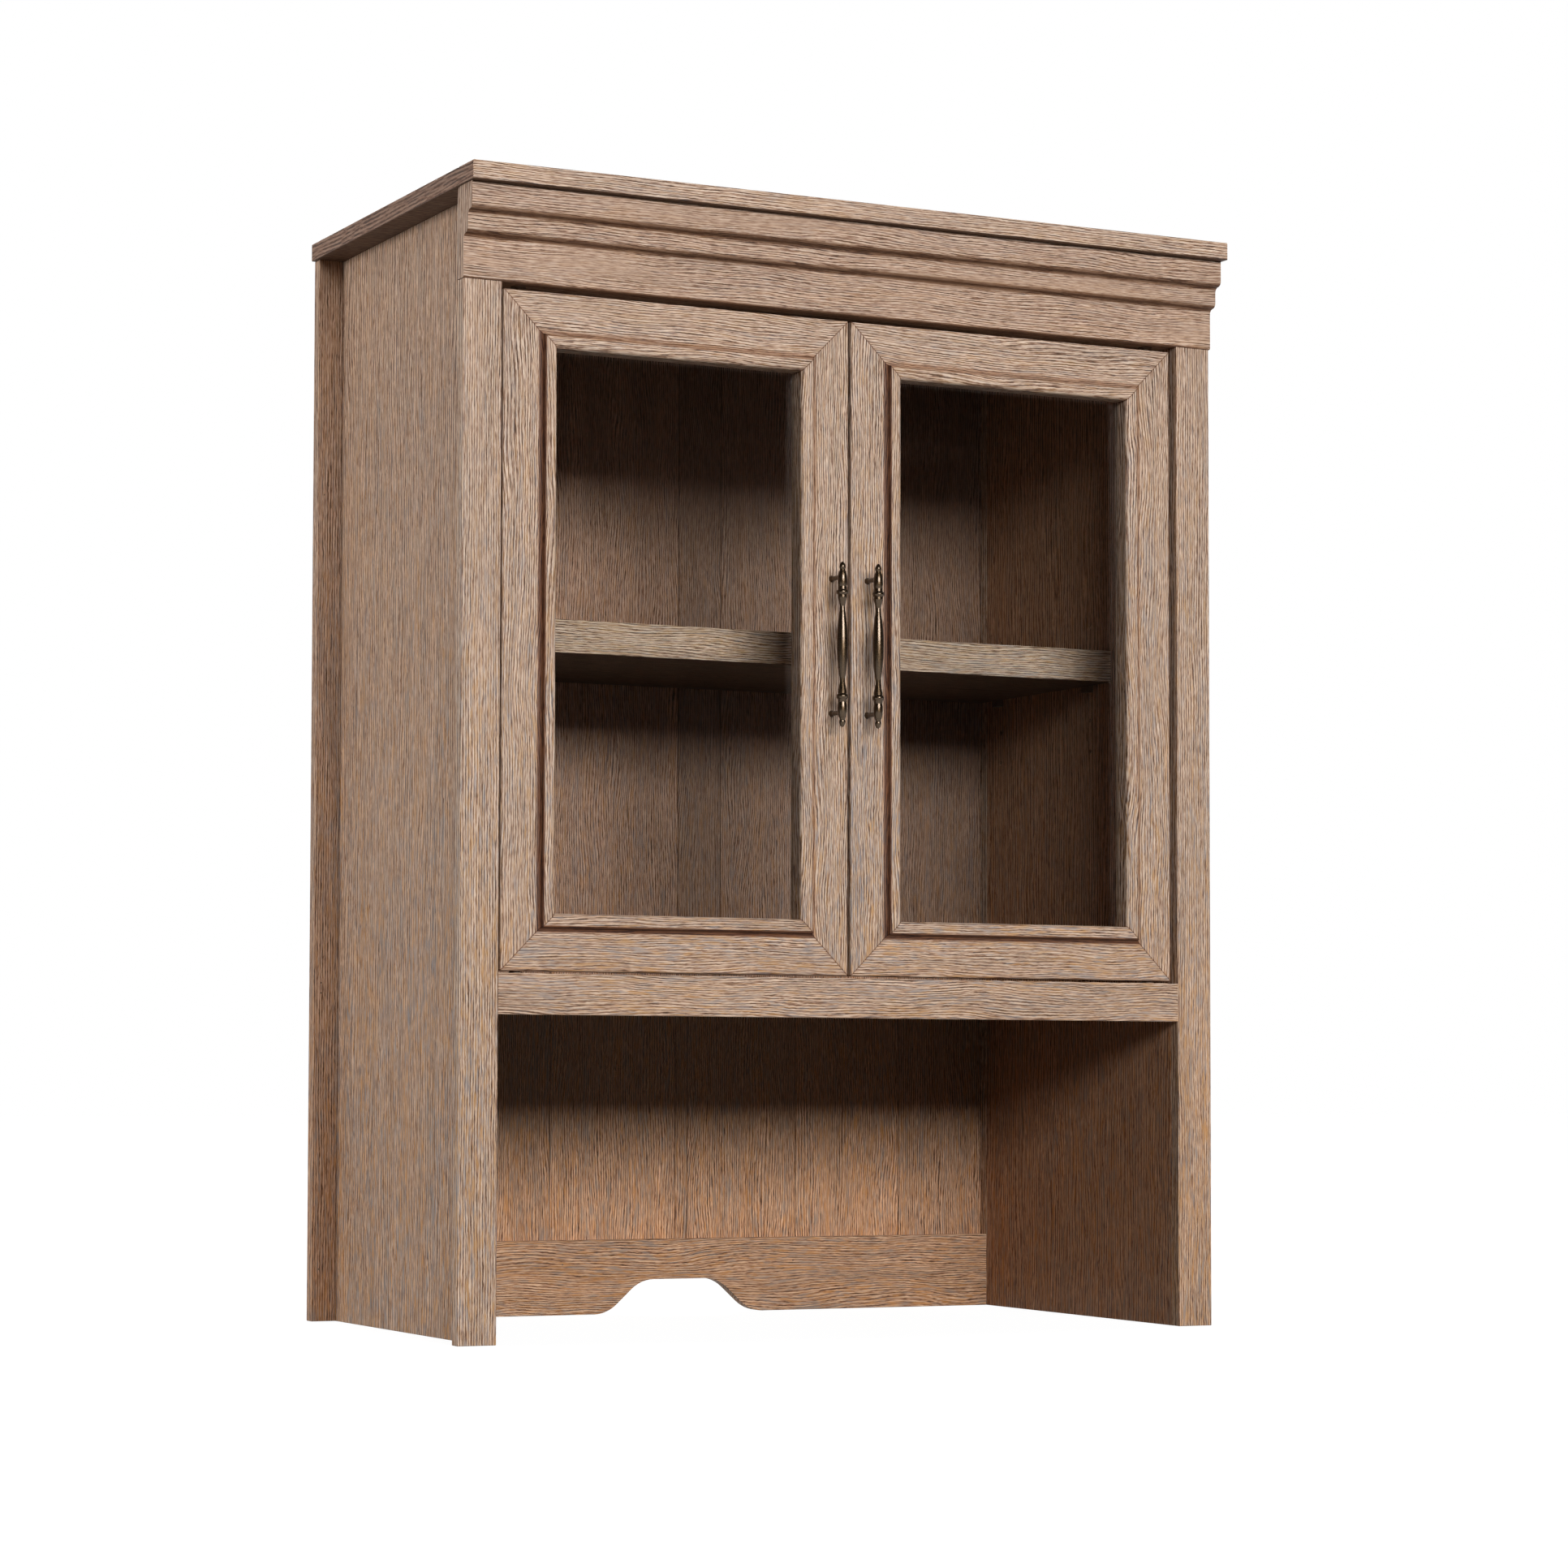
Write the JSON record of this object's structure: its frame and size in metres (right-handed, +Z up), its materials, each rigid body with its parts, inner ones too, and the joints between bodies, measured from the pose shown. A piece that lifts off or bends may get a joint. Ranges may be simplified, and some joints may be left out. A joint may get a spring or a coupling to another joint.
{
  "type": "glazed hutch",
  "caption": "Glazed hutch for a dresser: hinged glass doors with turned pulls, an adjustable shelf, a stepped crown moulding and an open bay with a cable cut-out.",
  "frame": {"origin": "centre of the bounding box's bottom face, on the surface that the hutch stands on", "axes": "+Z up, the doors face -Y, +X to the right seen from the front"},
  "size_m": [0.812, 0.409, 1.067],
  "materials": {
    "oak_laminate": "matt brushed oak laminate",
    "printed_hardboard": "hardboard with a printed oak plank face",
    "clear_glass": "clear tempered glass",
    "antique_bronze": "antique bronze plating, rubbed on the high spots",
    "zinc_plated_steel": "zinc plated",
    "brown_nylon": "moulded nylon, dark brown",
    "catch_body": "brown moulded plastic",
    "beech": "plain beech"
  },
  "bodies": {
    "case": {"adjustable_shelf": "oak_laminate", "apron_board": "oak_laminate", "back_nails": "zinc_plated_steel", "cabinet_floor": "oak_laminate", "cam_bolts": "zinc_plated_steel", "cam_discs": "zinc_plated_steel", "catch_magnets": "catch_body", "catch_rail": "oak_laminate", "crown_backing_rail": "oak_laminate", "crown_moulding": "oak_laminate", "crown_screws": "zinc_plated_steel", "dowels": "beech", "floor_front_rail": "oak_laminate", "left_front_post": "oak_laminate", "left_rear_stile": "oak_laminate", "left_side_panel": "oak_laminate", "lower_back_panel": "printed_hardboard", "pivot_bushes": "brown_nylon", "right_front_post": "oak_laminate", "right_rear_stile": "oak_laminate", "right_side_panel": "oak_laminate", "shelf_pins": "zinc_plated_steel", "top_panel": "oak_laminate", "upper_back_panel": "printed_hardboard"},
    "left_door": {"left_door_bottom_rail": "oak_laminate", "left_door_glass": "clear_glass", "left_door_glass_stops": "oak_laminate", "left_door_hinge_stile": "oak_laminate", "left_door_meeting_stile": "oak_laminate", "left_door_pivot_pins": "zinc_plated_steel", "left_door_pull": "antique_bronze", "left_door_pull_screws": "zinc_plated_steel", "left_door_strike": "zinc_plated_steel", "left_door_top_rail": "oak_laminate"},
    "right_door": {"right_door_bottom_rail": "oak_laminate", "right_door_glass": "clear_glass", "right_door_glass_stops": "oak_laminate", "right_door_hinge_stile": "oak_laminate", "right_door_meeting_stile": "oak_laminate", "right_door_pivot_pins": "zinc_plated_steel", "right_door_pull": "antique_bronze", "right_door_pull_screws": "zinc_plated_steel", "right_door_strike": "zinc_plated_steel", "right_door_top_rail": "oak_laminate"}
  },
  "joints": [
    {"name": "left_door_swing", "type": "hinge", "parent": "case", "child": "left_door", "pos_m": [-0.34, -0.157, 0.335], "axis": [0, 0, -1], "range_deg": [0, 105]},
    {"name": "right_door_swing", "type": "hinge", "parent": "case", "child": "right_door", "pos_m": [0.34, -0.157, 0.335], "axis": [0, 0, 1], "range_deg": [0, 105]}
  ]
}
